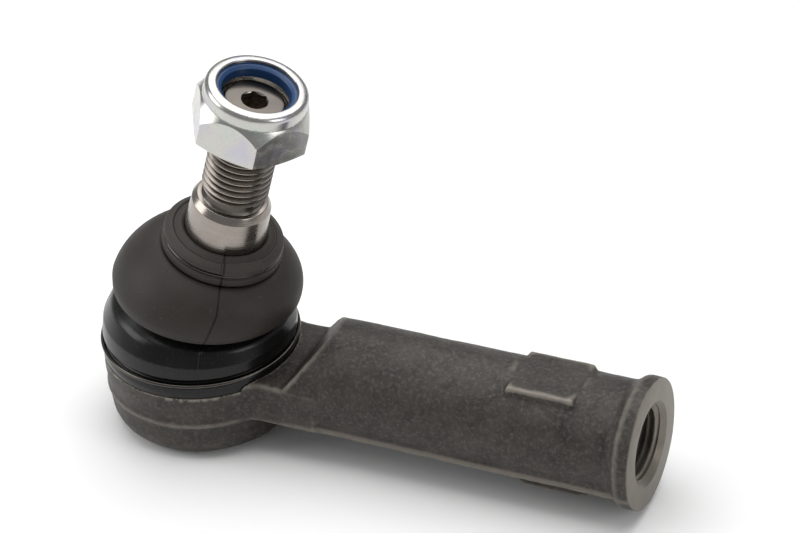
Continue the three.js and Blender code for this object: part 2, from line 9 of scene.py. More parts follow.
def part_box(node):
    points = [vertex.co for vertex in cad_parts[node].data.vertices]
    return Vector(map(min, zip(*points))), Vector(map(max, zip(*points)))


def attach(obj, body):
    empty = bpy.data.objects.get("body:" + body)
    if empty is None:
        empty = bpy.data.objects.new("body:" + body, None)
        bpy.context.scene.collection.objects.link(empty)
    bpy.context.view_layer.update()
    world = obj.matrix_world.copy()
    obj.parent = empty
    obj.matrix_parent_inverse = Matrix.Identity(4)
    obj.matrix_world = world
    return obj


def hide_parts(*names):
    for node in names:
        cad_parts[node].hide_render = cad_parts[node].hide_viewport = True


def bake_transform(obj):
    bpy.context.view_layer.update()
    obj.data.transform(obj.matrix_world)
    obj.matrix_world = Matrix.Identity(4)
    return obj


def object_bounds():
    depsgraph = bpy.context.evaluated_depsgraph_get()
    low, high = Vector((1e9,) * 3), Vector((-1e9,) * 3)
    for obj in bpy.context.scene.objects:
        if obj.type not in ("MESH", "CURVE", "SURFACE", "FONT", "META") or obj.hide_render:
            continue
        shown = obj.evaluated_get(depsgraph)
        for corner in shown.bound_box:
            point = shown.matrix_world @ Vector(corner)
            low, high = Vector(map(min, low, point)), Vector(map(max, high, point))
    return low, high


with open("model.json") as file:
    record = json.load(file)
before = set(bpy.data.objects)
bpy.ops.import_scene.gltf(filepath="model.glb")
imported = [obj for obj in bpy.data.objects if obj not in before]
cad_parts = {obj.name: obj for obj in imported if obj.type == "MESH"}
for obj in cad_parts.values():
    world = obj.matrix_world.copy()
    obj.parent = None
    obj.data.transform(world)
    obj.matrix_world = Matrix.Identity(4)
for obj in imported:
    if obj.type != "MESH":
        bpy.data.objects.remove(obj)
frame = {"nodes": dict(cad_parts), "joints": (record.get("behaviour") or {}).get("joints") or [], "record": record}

CAD_BOX = [list(corner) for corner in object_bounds()]
MILLIMETRE = 0.001

# ---- places taken from the frame
JOINTS = {joint["name"]: joint for joint in frame["joints"]}
BALL = Vector(JOINTS["lean"]["pos_m"])
STUD_AXIS = Vector(JOINTS["stud_spin"]["axis"])
STUD_LEAN = math.atan2(STUD_AXIS.x, STUD_AXIS.z)
TO_METRES = Matrix.Translation(BALL) @ Matrix.Scale(MILLIMETRE, 4)
ALONG_STUD = TO_METRES @ Matrix.Rotation(STUD_LEAN, 4, "Y")


def in_cup(point):
    """A point of the frame, in millimetres from the ball's centre."""
    return (Vector(point) - BALL) / MILLIMETRE


def on_stud(point):
    """A point of the frame, in millimetres from the ball's centre, with the stud's lean taken
    out."""
    return Matrix.Rotation(-STUD_LEAN, 3, "Y") @ in_cup(point)


HOUSING_LOW, HOUSING_HIGH = (in_cup(corner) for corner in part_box("housing"))
COVER_LOW, COVER_HIGH = (in_cup(corner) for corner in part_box("end_cover"))
RING_LOW, RING_HIGH = (in_cup(corner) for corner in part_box("boot_lower_ring"))
MOUNTS = {mount["name"]: Vector(mount["pos_m"]) for mount in frame["record"]["mounts"]}
CUP_RADIUS = -HOUSING_LOW.x
CUP_FOOT = HOUSING_LOW.z
FLANGE_FACE = HOUSING_HIGH.x
COVER_RADIUS = COVER_HIGH.x
COVER_FOOT = COVER_LOW.z
COVER_TOP = COVER_HIGH.z
RIM = in_cup(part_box("boot_base")[0]).z
RING_HEIGHT = (RING_LOW.z + RING_HIGH.z) / 2
NUT_FOOT = on_stud(MOUNTS["nut_bearing_face"]).z

# ---- sizes of the fine shapes, in millimetres
BALL_RADIUS = 12.5
NECK_RADIUS = 6.2
COLLAR_FOOT = 20.03
TAPER_FOOT = 22.43
TAPER_TOP = 37.23
TAPER_SMALL = 8.2
TAPER_LARGE = 8.94
THREAD_FOOT = 40.23
TIP = 63.73
PITCH = 1.5
STUD_CREST = 6.98
STUD_ROOT = 6.08
HEX_KEY = 5.0
KEY_DEPTH = 6.0

NUT_FLATS = 22.0
NUT_SHELF = NUT_FOOT + 8.5
NUT_TOP = NUT_FOOT + 12.0
NUT_LIP_RADIUS = NUT_FLATS / 2 - 2.85

SHANK_DROP = 3.0
SHANK_RADIUS = 12.2
ALONG_SHANK = Matrix.Translation((0, 0, -SHANK_DROP)) @ Matrix.Rotation(math.pi / 2, 4, "Y")
SADDLE_SLOPE = (0.79, 0, 0.61)
FLANGE_RADIUS = 13.75
SOCKET_CREST = 7.19
SOCKET_ROOT = 8.05
SOCKET_MOUTH = 9.05
SOCKET_DEPTH = 40.0
FACING_STOCK = 3.0
LUG_LENGTH = 16.8
LUG_CROWN = SHANK_RADIUS - 0.4
LUGS = ((FLANGE_FACE - 29.6, 1), (FLANGE_FACE - 27.4, -1))  # where each starts, and its side
PARTING_HEIGHT = -9.0

BOOT_FOOT = 2.1
LOBE_TOP = 12.4
WAIST = 12.3
WAIST_TOP = 14.8
WAIST_INSIDE = 14.4
DOME_CENTRE = (8.2, 13.9)
CROWN_FOOT = 20.83
CROWN = 24.0
CROWN_BORE = 9.3
MOULD_SEAM = math.radians(-64.5)

# ---- fineness of the meshes
ROUND = 128
THREAD_STEPS = 48
VOXEL = 0.42

# ---- the Mix node's sockets for colours, which have the same names as those for its other kinds
MIX_SHARE, MIX_FIRST, MIX_SECOND, MIX_COLOUR = 0, 6, 7, 2


# ---- drawing


def rounded(points, steps=5):
    """Outline points (radius, height), where a third number rounds the corner with an arc of that
    radius."""
    outline = []
    for i, point in enumerate(points):
        here = Vector(point[:2])
        if len(point) == 2:
            outline.append(here)
            continue
        to_last = (Vector(points[i - 1][:2]) - here).normalized()
        to_next = (Vector(points[(i + 1) % len(points)][:2]) - here).normalized()
        half = to_last.angle(to_next) / 2
        centre = here + (to_last + to_next).normalized() * (point[2] / math.sin(half))
        spoke = here + to_last * (point[2] / math.tan(half)) - centre
        side = to_last.y * to_next.x - to_last.x * to_next.y
        sweep = math.copysign(math.pi - 2 * half, side)
        for step in range(steps + 1):
            turn = Matrix.Rotation(sweep * step / steps, 2)
            outline.append(centre + turn @ spoke)
    return outline


def arc(centre, radius, start, end, steps):
    """Points on an arc about a centre, between two angles in degrees."""
    points = []
    for step in range(steps + 1):
        angle = math.radians(start + (end - start) * step / steps)
        reach = Vector((math.cos(angle), math.sin(angle))) * radius
        points.append(tuple(Vector(centre) + reach))
    return points


def turned(outline, steps=ROUND, closed=False):
    """An outline of (radius, height) points spun about Z."""
    bm = bmesh.new()
    verts = [bm.verts.new((point[0], 0, point[1])) for point in outline]
    edges = [bm.edges.new(pair) for pair in zip(verts, verts[1:])]
    if closed:
        edges.append(bm.edges.new((verts[-1], verts[0])))
    bmesh.ops.spin(
        bm, geom=verts + edges, axis=(0, 0, 1), cent=(0, 0, 0), angle=math.tau, steps=steps,
        use_merge=True,
    )
    bmesh.ops.remove_doubles(bm, verts=bm.verts, dist=1e-4)
    bmesh.ops.recalc_face_normals(bm, faces=bm.faces)
    return bm


def threaded_bar(root, crest, low, high):
    """A bar with a right-hand thread: one pitch of its form, with flanks of 30 degrees, wound up
    the axis and cut off flat at both ends."""
    flank = (crest - root) * math.tan(math.radians(30))
    crest_flat = PITCH / 8
    root_flat = PITCH - crest_flat - 2 * flank
    form = [(root, 0), (root, root_flat), (crest, root_flat + flank)]
    form += [(crest, root_flat + flank + crest_flat), (root, PITCH)]
    turns = math.ceil((high - low) / PITCH) + 2
    bm = bmesh.new()
    verts = [bm.verts.new((radius, 0, low - PITCH + height)) for radius, height in form]
    edges = [bm.edges.new(pair) for pair in zip(verts, verts[1:])]
    rise = (0, 0, PITCH / THREAD_STEPS)
    bmesh.ops.spin(
        bm, geom=verts + edges, axis=(0, 0, 1), cent=(0, 0, 0), dvec=rise, angle=math.tau * turns,
        steps=THREAD_STEPS * turns,
    )
    bmesh.ops.remove_doubles(bm, verts=bm.verts, dist=1e-3)
    for height, facing in ((low, -1), (high, 1)):
        cut_off(bm, (0, 0, height), (0, 0, facing))
    bmesh.ops.recalc_face_normals(bm, faces=bm.faces)
    return bm


def cut_off(bm, place, facing, finish=0):
    """Takes away what lies beyond a plane, and closes the cut with a flat face."""
    everything = bm.verts[:] + bm.edges[:] + bm.faces[:]
    bmesh.ops.bisect_plane(bm, geom=everything, plane_co=place, plane_no=facing, clear_outer=True)
    rims = [edge for edge in bm.edges if edge.is_boundary]
    filled = bmesh.ops.holes_fill(bm, edges=rims, sides=0)
    for face in filled["faces"]:
        face.material_index = finish
    return filled["faces"]


def block(low, high):
    """A box between two corners."""
    bm = bmesh.new()
    bmesh.ops.create_cube(bm, size=1)
    low, high = Vector(low), Vector(high)
    bmesh.ops.scale(bm, vec=high - low, verts=bm.verts)
    bmesh.ops.translate(bm, vec=(low + high) / 2, verts=bm.verts)
    return bm


def hex_bar(across, low, high):
    """A six-sided bar about Z with two of its corners on the X axis."""
    bm = bmesh.new()
    corner = across / math.sqrt(3)
    bmesh.ops.create_cone(
        bm, cap_ends=True, segments=6, radius1=corner, radius2=corner, depth=high - low
    )
    bmesh.ops.rotate(bm, matrix=Matrix.Rotation(math.pi / 2, 3, "Z"), verts=bm.verts)
    bmesh.ops.translate(bm, vec=(0, 0, (low + high) / 2), verts=bm.verts)
    return bm


def moved(bm, matrix):
    bmesh.ops.transform(bm, matrix=matrix, verts=bm.verts)
    return bm


def gathered(*shapes):
    """Several shapes in one mesh, not yet joined."""
    whole = bmesh.new()
    for shape in shapes:
        mesh = bpy.data.meshes.new("part")
        shape.to_mesh(mesh)
        shape.free()
        whole.from_mesh(mesh)
        bpy.data.meshes.remove(mesh)
    return whole


def working_object(bm):
    mesh = bpy.data.meshes.new("working")
    bm.to_mesh(mesh)
    bm.free()
    thing = bpy.data.objects.new("working", mesh)
    bpy.context.scene.collection.objects.link(thing)
    return thing


def applied(thing):
    """The shape of a working object with its modifiers applied. The object is taken away."""
    evaluated = thing.evaluated_get(bpy.context.evaluated_depsgraph_get())
    bm = bmesh.new()
    bm.from_mesh(evaluated.to_mesh())
    evaluated.to_mesh_clear()
    bpy.data.meshes.remove(thing.data)
    return bm


def combined(first, second, operation):
    """Two closed shapes joined (UNION), cut (DIFFERENCE) or crossed (INTERSECT)."""
    base = working_object(first)
    tool = working_object(second)
    boolean = base.modifiers.new("boolean", "BOOLEAN")
    boolean.operation = operation
    boolean.solver = "MANIFOLD"
    boolean.object = tool
    made = applied(base)
    bpy.data.meshes.remove(tool.data)
    return made


def remeshed(bm, size):
    """The outside of overlapping shapes as one even skin."""
    thing = working_object(bm)
    remesh = thing.modifiers.new("remesh", "REMESH")
    remesh.mode = "VOXEL"
    remesh.voxel_size = size
    return applied(thing)


def bent_with_stud(point):
    """Leans a point of the boot: none of the stud's lean at the boot's foot, all of it at the
    crown."""
    share = (point.z - BOOT_FOOT) / (CROWN_FOOT - BOOT_FOOT)
    lean = STUD_LEAN * min(max(share, 0), 1)
    return Matrix.Rotation(lean, 3, "Y") @ point


def finished(name, bm, finishes, place=TO_METRES, bend=None, crease=35):
    """Makes the object. An attribute, drawn, keeps each point's place in millimetres on the
    straight piece. Edges sharper than crease, in degrees, stay sharp."""
    drawn = [vert.co.copy() for vert in bm.verts]
    if bend:
        for vert in bm.verts:
            vert.co = bend(vert.co)
    moved(bm, place)
    bm.normal_update()
    for face in bm.faces:
        face.smooth = True
    for edge in bm.edges:
        edge.smooth = not edge.is_manifold or edge.calc_face_angle() < math.radians(crease)
    mesh = bpy.data.meshes.new(name)
    bm.to_mesh(mesh)
    bm.free()
    layer = mesh.attributes.new("drawn", "FLOAT_VECTOR", "POINT")
    layer.data.foreach_set("vector", [number for point in drawn for number in point])
    for finish in finishes:
        mesh.materials.append(finish)
    thing = bpy.data.objects.new(name, mesh)
    bpy.context.scene.collection.objects.link(thing)
    return thing


def soften(piece, width, segments, angle, harden_normals=False):
    """Rounds the edges that are sharper than an angle in degrees, by a width in millimetres."""
    bevel = piece.modifiers.new("soft_edges", "BEVEL")
    bevel.width = width * MILLIMETRE
    bevel.segments = segments
    bevel.limit_method = "ANGLE"
    bevel.angle_limit = math.radians(angle)
    bevel.harden_normals = harden_normals


# ---- finishes


def linear(code):
    """A colour given as an sRGB hex value, as the linear values that the shader takes."""
    shades = [int(code[i : i + 2], 16) / 255 for i in (1, 3, 5)]
    curved = [((shade + 0.055) / 1.055) ** 2.4 for shade in shades]
    return [s / 12.92 if s <= 0.04045 else c for s, c in zip(shades, curved)] + [1]


def feed(tree, node, inputs):
    """Sets a node's inputs. Each is a value, or the socket that feeds it."""
    for key, value in inputs.items():
        if isinstance(value, bpy.types.NodeSocket):
            tree.links.new(value, node.inputs[key])
        else:
            node.inputs[key].default_value = value


def add(tree, kind, inputs, **settings):
    """Adds a node with its settings and its inputs."""
    node = tree.nodes.new(kind)
    for name, value in settings.items():
        setattr(node, name, value)
    feed(tree, node, inputs)
    return node


def attribute(tree, name):
    return add(tree, "ShaderNodeAttribute", {}, attribute_name=name)


def scaled(tree, place, scale):
    return add(tree, "ShaderNodeMapping", {"Vector": place, "Scale": scale}).outputs["Vector"]


def noise_at(tree, place, size, detail, roughness=0.5):
    """Noise whose largest spots are about so many millimetres across."""
    inputs = {"Vector": place, "Scale": 1 / size, "Detail": detail, "Roughness": roughness}
    return add(tree, "ShaderNodeTexNoise", inputs).outputs["Fac"]


def ramp(tree, value, start=0, end=1, low=0, high=1):
    """A value that goes from low to high while the given one goes from start to end."""
    inputs = {"Value": value, "From Min": start, "From Max": end, "To Min": low, "To Max": high}
    return add(tree, "ShaderNodeMapRange", inputs).outputs["Result"]


def mixed(tree, share, first, second):
    """Two colours mixed, each a hex value or a socket. A share of 1 is all the second."""
    first, second = (linear(end) if isinstance(end, str) else end for end in (first, second))
    inputs = {MIX_SHARE: share, MIX_FIRST: first, MIX_SECOND: second}
    return add(tree, "ShaderNodeMix", inputs, data_type="RGBA").outputs[MIX_COLOUR]


def maths(tree, operation, *values):
    inputs = dict(enumerate(values))
    return add(tree, "ShaderNodeMath", inputs, operation=operation).outputs["Value"]


def vector_maths(tree, operation, *values):
    inputs = dict(enumerate(values))
    node = add(tree, "ShaderNodeVectorMath", inputs, operation=operation)
    return node.outputs["Value" if operation in ("LENGTH", "DOT_PRODUCT") else "Vector"]


def bump(tree, height, strength, depth, over=None, invert=False):
    """Bump as deep as so many millimetres, by itself or over another bump."""
    inputs = {"Strength": strength, "Distance": depth * MILLIMETRE, "Height": height}
    if over:
        inputs["Normal"] = over
    return add(tree, "ShaderNodeBump", inputs, invert=invert).outputs["Normal"]


def new_finish(name, in_frame=False):
    """A material, its nodes, its shader, and the place on the piece in millimetres: as it was
    drawn, or where it lies in the frame, which CAD nodes have too."""
    material = bpy.data.materials.new(name)
    material.use_nodes = True
    tree = material.node_tree
    if in_frame:
        in_metres = add(tree, "ShaderNodeTexCoord", {}).outputs["Object"]
        place = scaled(tree, in_metres, [1 / MILLIMETRE] * 3)
    else:
        place = attribute(tree, "drawn").outputs["Vector"]
    return material, tree, tree.nodes["Principled BSDF"], place


def forged_steel():
    """Drop-forged steel, shot-blasted and manganese-phosphated: a dull brown-grey skin, pitted by
    forging scale, and lighter where it stands out: partly rubbed, partly a painted highlight."""
    material, tree, shader, place = new_finish("phosphated_forged_steel")
    blotch = noise_at(tree, place, 6, detail=6, roughness=0.7)
    scale = noise_at(tree, place, 0.8, detail=7, roughness=0.72)
    grit = noise_at(tree, place, 0.35, detail=3)
    colour = mixed(tree, ramp(tree, blotch, 0.35, 0.65), "#25211e", "#3f3a35")
    colour = mixed(tree, ramp(tree, scale, 0.5, 0.73), colour, "#5a534d")

    # Points that stand out from their neighbours are drawn a lighter grey: partly edge wear, partly a painted
    # highlight along the edges.
    worn_and_highlit = ramp(tree, attribute(tree, "standing_out").outputs["Fac"], 0.15, 1.0, high=0.75)
    colour = mixed(tree, worn_and_highlit, colour, "#8c857b")

    # The trimmed flash is a paler band at the parting line, outermost on the shank.
    parts = add(tree, "ShaderNodeSeparateXYZ", {"Vector": place}).outputs
    from_parting = maths(tree, "ABSOLUTE", maths(tree, "SUBTRACT", parts["Z"], PARTING_HEIGHT))
    in_band = ramp(tree, from_parting, 0.45, 0.95, low=0.7, high=0)
    outermost = ramp(tree, maths(tree, "ABSOLUTE", parts["Y"]), 10.8, 11.2)
    off_cup = ramp(tree, parts["X"], 22, 28, low=0.25, high=1)
    trimmed = maths(tree, "MULTIPLY", in_band, outermost)
    trimmed = maths(tree, "MULTIPLY", trimmed, off_cup)
    colour = mixed(tree, trimmed, colour, "#6f6860")

    coarse = bump(tree, scale, strength=0.5, depth=0.3)
    fine = bump(tree, grit, strength=0.6, depth=0.1, over=coarse)
    roughness = ramp(tree, scale, low=0.58, high=0.4)
    skin = {"Base Color": colour, "Roughness": roughness, "Normal": fine, "Metallic": 0.3}
    feed(tree, shader, skin)
    return material


def faced_steel():
    """Steel faced and tapped after forging: the cutting tool leaves fine rings, phosphated a soft
    grey."""
    material, tree, shader, place = new_finish("faced_steel")
    # The real rings are 0.1 mm apart; they are drawn further apart so that they show.
    ring_gap = 0.45
    across = vector_maths(tree, "MULTIPLY", place, (0, 1, 1))
    centred = vector_maths(tree, "ADD", across, (0, 0, SHANK_DROP))
    radius = vector_maths(tree, "LENGTH", centred)
    rings = maths(tree, "SINE", maths(tree, "MULTIPLY", radius, math.tau / ring_gap))
    blotch = noise_at(tree, place, 2.5, detail=5)
    colour = mixed(tree, blotch, "#67615a", "#8a837a")
    roughness = ramp(tree, blotch, low=0.38, high=0.55)
    ridges = bump(tree, rings, strength=0.12, depth=0.05)
    skin = {"Base Color": colour, "Roughness": roughness, "Normal": ridges, "Metallic": 0.8}
    feed(tree, shader, skin)
    return material


def turned_steel():
    """Bright steel, turned and rolled: fine rings round the axis, a warm grey mirror, and a darker
    colour in the thread's root."""
    material, tree, shader, place = new_finish("turned_bright_steel")
    rings = noise_at(tree, scaled(tree, place, (0.05, 0.05, 5.5)), 1, detail=3)
    film = noise_at(tree, place, 4, detail=4)
    colour = mixed(tree, film, "#8a827c", "#a39c95")

    # The thread's root is drawn darker, but not the hex socket.
    radius = vector_maths(tree, "LENGTH", vector_maths(tree, "MULTIPLY", place, (1, 1, 0)))
    in_root = ramp(tree, radius, STUD_ROOT + 0.05, STUD_CREST - 0.15, low=0.8, high=0)
    off_socket = ramp(tree, radius, STUD_ROOT - 0.6, STUD_ROOT - 0.2)
    colour = mixed(tree, maths(tree, "MULTIPLY", in_root, off_socket), colour, "#2e2a28")

    # The end is as it was cropped, darker than the turned steel.
    height = add(tree, "ShaderNodeSeparateXYZ", {"Vector": place}).outputs["Z"]
    colour = mixed(tree, ramp(tree, height, TIP - 0.12, TIP - 0.05, high=0.75), colour, "#4d4844")

    roughness = ramp(tree, rings, 0.3, 0.7, low=0.16, high=0.34)
    ridges = bump(tree, rings, strength=0.12, depth=0.03)
    skin = {"Base Color": colour, "Roughness": roughness, "Normal": ridges, "Metallic": 1}
    feed(tree, shader, skin)
    return material


def zinc_plate():
    """Steel zinc-plated and clear-passivated: a bright, slightly soft mirror with a faint violet
    and green bloom, and tumbling marks from the plating barrel."""
    material, tree, shader, place = new_finish("passivated_zinc_plate")
    bloom = noise_at(tree, place, 6, detail=2)
    marks = noise_at(tree, place, 1.8, detail=4)
    colour = mixed(tree, ramp(tree, bloom, 0.5, 0.68), "#c2c0bb", "#bbb9c1")
    colour = mixed(tree, ramp(tree, bloom, 0.46, 0.34), colour, "#bdc1bb")
    roughness = ramp(tree, marks, 0.3, 0.7, low=0.2, high=0.3)
    dents = bump(tree, marks, strength=0.04, depth=0.06)
    skin = {"Base Color": colour, "Roughness": roughness, "Normal": dents, "Metallic": 1}
    feed(tree, shader, skin)
    return material


def moulded_rubber(name, deep, pale, gloss):
    """Chloroprene rubber from a blasted mould: near black with a brown cast and dust in its pores,
    and a fine seam where the mould's halves met."""
    material, tree, shader, place = new_finish(name)
    cloud = noise_at(tree, place, 7, detail=5)
    pores = noise_at(tree, place, 0.4, detail=4)
    dust = noise_at(tree, place, 0.7, detail=6, roughness=0.75)
    across_seam = (math.sin(MOULD_SEAM), -math.cos(MOULD_SEAM), 0)
    distance = maths(tree, "ABSOLUTE", vector_maths(tree, "DOT_PRODUCT", place, across_seam))
    seam = ramp(tree, distance, 0.12, 0.3, low=1, high=0)
    colour = mixed(tree, cloud, deep, pale)
    colour = mixed(tree, ramp(tree, dust, 0.6, 0.76, high=0.6), colour, "#645d55")
    colour = mixed(tree, seam, colour, "#050505")
    roughness = ramp(tree, cloud, low=gloss, high=gloss + 0.12)
    grain = bump(tree, pores, strength=0.3, depth=0.05)
    groove = bump(tree, seam, strength=0.6, depth=0.2, over=grain, invert=True)
    feed(tree, shader, {"Base Color": colour, "Roughness": roughness, "Normal": groove})
    shader.inputs["Specular IOR Level"].default_value = 0.3
    return material


def drawn_wire():
    """Hard-drawn spring wire: dark, polished by the die, with faint lengthwise streaks."""
    material, tree, shader, place = new_finish("drawn_spring_wire")
    streaks = noise_at(tree, place, 0.5, detail=3)
    colour = mixed(tree, streaks, "#3f3c39", "#5b5753")
    roughness = ramp(tree, streaks, low=0.14, high=0.26)
    feed(tree, shader, {"Base Color": colour, "Roughness": roughness, "Metallic": 1})
    return material


def pressed_steel():
    """Cold-rolled sheet, blanked and pressed: an even grey with the roll's fine grain along one
    way."""
    material, tree, shader, place = new_finish("pressed_sheet_steel", in_frame=True)
    grain = noise_at(tree, scaled(tree, place, (0.15, 3, 3)), 1, detail=4)
    colour = mixed(tree, grain, "#8a8681", "#a8a49e")
    roughness = ramp(tree, grain, low=0.28, high=0.45)
    feed(tree, shader, {"Base Color": colour, "Roughness": roughness, "Metallic": 1})
    return material


def moulded_plastic(name, deep, pale, gloss):
    """An engineering plastic, injection moulded: one even colour with a soft sheen and slight flow
    marks."""
    material, tree, shader, place = new_finish(name, in_frame=True)
    flow = noise_at(tree, place, 3, detail=3)
    colour = mixed(tree, flow, deep, pale)
    roughness = ramp(tree, flow, low=gloss, high=gloss + 0.1)
    feed(tree, shader, {"Base Color": colour, "Roughness": roughness})
    shader.inputs["IOR"].default_value = 1.53
    return material


FORGED = forged_steel()
FACED = faced_steel()
TURNED = turned_steel()
ZINC = zinc_plate()
DULL_RUBBER = moulded_rubber("moulded_rubber_dull", "#231f1c", "#332e2a", gloss=0.5)
DUSTY_RUBBER = moulded_rubber("moulded_rubber_dusty", "#2b2724", "#3f3935", gloss=0.48)
# Near black: painted shade on the boot's waist, lower lobe and bead, which sit under the upper lobe's overhang.
GLOSSY_SHADED_RUBBER = moulded_rubber("moulded_rubber_glossy_painted_shade", "#080808", "#100f0f", gloss=0.2)
WIRE = drawn_wire()
SHEET_STEEL = pressed_steel()
NYLON = moulded_plastic("blue_nylon", "#10305a", "#1d4672", gloss=0.3)
ACETAL = moulded_plastic("natural_acetal", "#ddd8ca", "#e8e4d9", gloss=0.3)


# ---- housing


def forging():
    """The housing as it leaves the dies and the flash trimmer: cup, web, shank, spanner lugs and
    flange."""
    cup = turned(
        rounded(
            [
                (0, CUP_FOOT),
                (CUP_RADIUS - 1.1, CUP_FOOT, 5.4),
                (CUP_RADIUS, RIM - 3.5, 3),
                (CUP_RADIUS, RIM, 0.6),
                (0, RIM),
            ],
            8,
        )
    )
    shank_outline = rounded(
        [
            (0, 0),
            (SHANK_RADIUS, 0),
            (SHANK_RADIUS, FLANGE_FACE - 4.9, 1.6),
            (FLANGE_RADIUS, FLANGE_FACE - 3.0, 0.5),
            (FLANGE_RADIUS, FLANGE_FACE + FACING_STOCK),
            (0, FLANGE_FACE + FACING_STOCK),
        ]
    )
    shank = moved(turned(shank_outline), ALONG_SHANK)
    slope_x, _, slope_z = SADDLE_SLOPE
    cut_off(shank, (23.9, 0, RIM), (-slope_x, 0, slope_z))
    for start, side in LUGS:
        shank = combined(shank, lug_flat(start, side), "DIFFERENCE")
    root_outline = [(0, 0), (SHANK_RADIUS, 0), (SHANK_RADIUS, 40), (0, 40)]
    root = moved(turned(root_outline), ALONG_SHANK)
    cut_off(root, (0, 0, RIM + 0.6), (0, 0, 1))
    web = fillet_web(RIM + 0.4, 9)
    lugs = [lug(start, side) for start, side in LUGS]
    skin = remeshed(gathered(cup, shank, root, web, *lugs, *flash_ribs()), VOXEL)
    for _ in range(3):
        bmesh.ops.smooth_vert(
            skin, verts=skin.verts, factor=0.5, use_axis_x=True, use_axis_y=True, use_axis_z=True
        )

    # The dies' wear and the scale leave the skin slightly uneven, but not past the cup's foot.
    skin.normal_update()
    for vert in skin.verts:
        swell = 0.11 * noise.noise(vert.co / 5.5) + 0.05 * noise.noise(vert.co / 1.7)
        vert.co += vert.normal * swell
        vert.co.z = max(vert.co.z, CUP_FOOT)
    return skin


def flash_ribs():
    """What the trimmer leaves of the flash: a rib along the shank and one round the cup."""
    rib = 0.8
    half_width = math.sqrt(SHANK_RADIUS**2 - (PARTING_HEIGHT + SHANK_DROP) ** 2) + 0.9
    along_shank = block(
        (10, -half_width, PARTING_HEIGHT - rib),
        (FLANGE_FACE - 4.5, half_width, PARTING_HEIGHT + rib),
    )
    radius, low, high = CUP_RADIUS + 0.05, PARTING_HEIGHT - rib / 2, PARTING_HEIGHT + rib / 2
    round_cup = turned([(0, low), (radius, low), (radius, high), (0, high)])
    return along_shank, round_cup


def fillet_web(top, depth):
    """The web between cup and shank: as wide as the shank, and rounded out to the cup on each
    side."""
    fillet = 6.0
    side_y = SHANK_RADIUS + fillet
    side_x = math.sqrt((CUP_RADIUS + fillet) ** 2 - side_y**2)
    start = math.degrees(math.atan2(side_y, side_x)) + 180
    curve = arc((side_x, side_y), fillet, start, 270, 10)
    outline = [(0, curve[0][1])] + curve + [(side_x + 12, SHANK_RADIUS)]
    bm = bmesh.new()
    points = outline + [(x, -y) for x, y in reversed(outline)]
    face = bm.faces.new([bm.verts.new((x, y, top - depth)) for x, y in points])
    raised = bmesh.ops.extrude_face_region(bm, geom=[face])["geom"]
    raised = [part for part in raised if isinstance(part, bmesh.types.BMVert)]
    bmesh.ops.translate(bm, vec=(0, 0, depth), verts=raised)
    bmesh.ops.recalc_face_normals(bm, faces=bm.faces)
    cut_off(bm, (32, 0, top), SADDLE_SLOPE)
    return bm


def on_shank(bm, side):
    """A shape drawn above the shank's axis put in its place, or below the shank if side is -1."""
    bmesh.ops.transform(bm, matrix=Matrix.Diagonal((1, 1, side, 1)), verts=bm.verts)
    bmesh.ops.translate(bm, vec=(0, 0, -SHANK_DROP), verts=bm.verts)
    bmesh.ops.recalc_face_normals(bm, faces=bm.faces)
    return bm


def lug(start, side):
    """A raised pad with sloping ends, above or below the shank."""
    half_width, ramp_length, sunk_foot = 6.9, 1.3, 4
    bm = block((start, -half_width, sunk_foot), (start + LUG_LENGTH, half_width, LUG_CROWN))
    for vert in bm.verts:
        if vert.co.z > sunk_foot + 1:
            vert.co.x += ramp_length if vert.co.x < start + LUG_LENGTH / 2 else -ramp_length
    return on_shank(bm, side)


def lug_flat(start, side):
    """What is taken off the round shank so that the lug's crown is flat."""
    low = (start + 1, -8, LUG_CROWN)
    high = (start + LUG_LENGTH - 1, 8, LUG_CROWN + 3)
    return on_shank(block(low, high), side)


def faced(bm):
    """Marks a cutting shape's faces, so that what it cuts gets the machined finish."""
    for face in bm.faces:
        face.material_index = 1
    return bm


def socket_tool():
    """The tapped hole with its drill point and its countersunk mouth."""
    foot = FLANGE_FACE - SOCKET_DEPTH
    thread = threaded_bar(SOCKET_CREST, SOCKET_ROOT, foot, FLANGE_FACE + 2)
    drilled = turned(
        [
            (0, foot - 4),
            (SOCKET_CREST, foot),
            (SOCKET_CREST, foot + 0.5),
            (SOCKET_CREST, FLANGE_FACE - (SOCKET_MOUTH - SOCKET_CREST)),
            (SOCKET_MOUTH, FLANGE_FACE),
            (SOCKET_MOUTH, FLANGE_FACE + FACING_STOCK),
            (0, FLANGE_FACE + FACING_STOCK),
        ]
    )
    return moved(combined(drilled, thread, "UNION"), ALONG_SHANK)


def cup_bore():
    """The cup's bore: the opening in its rolled edge, the end cover's recess, and the bearing's
    seat above it."""
    gap = 0.05
    seat_radius = COVER_RADIUS - 0.6
    recess_radius = COVER_RADIUS + 0.3
    return turned(
        rounded(
            [
                (0, CUP_FOOT - 2),
                (COVER_RADIUS - 2.4, CUP_FOOT - 2),
                (COVER_RADIUS - 2.8, COVER_FOOT - gap),
                (recess_radius, COVER_FOOT - gap),
                (recess_radius, COVER_TOP + gap),
                (seat_radius, COVER_TOP + gap),
                (seat_radius, RIM + 2),
                (0, RIM + 2),
            ]
        )
    )


def housing_piece():
    skin = forging()
    face = cut_off(skin, (FLANGE_FACE, 0, 0), (1, 0, 0), finish=1)
    rim = face[0].edges[:]
    bmesh.ops.bevel(
        skin, geom=rim, affect="EDGES", offset=0.25, segments=2, profile=0.5, material=-1
    )
    skin = combined(skin, faced(socket_tool()), "DIFFERENCE")
    low, high, inner, outer = RIM - 0.95, RIM + 3, 15, 20.75
    boot_step = turned([(inner, low), (outer, low), (outer, high), (inner, high)], closed=True)
    skin = combined(skin, boot_step, "DIFFERENCE")
    skin = combined(skin, faced(cup_bore()), "DIFFERENCE")
    piece = finished("housing_forging", skin, [FORGED, FACED])
    mark_edges(piece)
    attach(piece, "housing")
    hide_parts("housing")


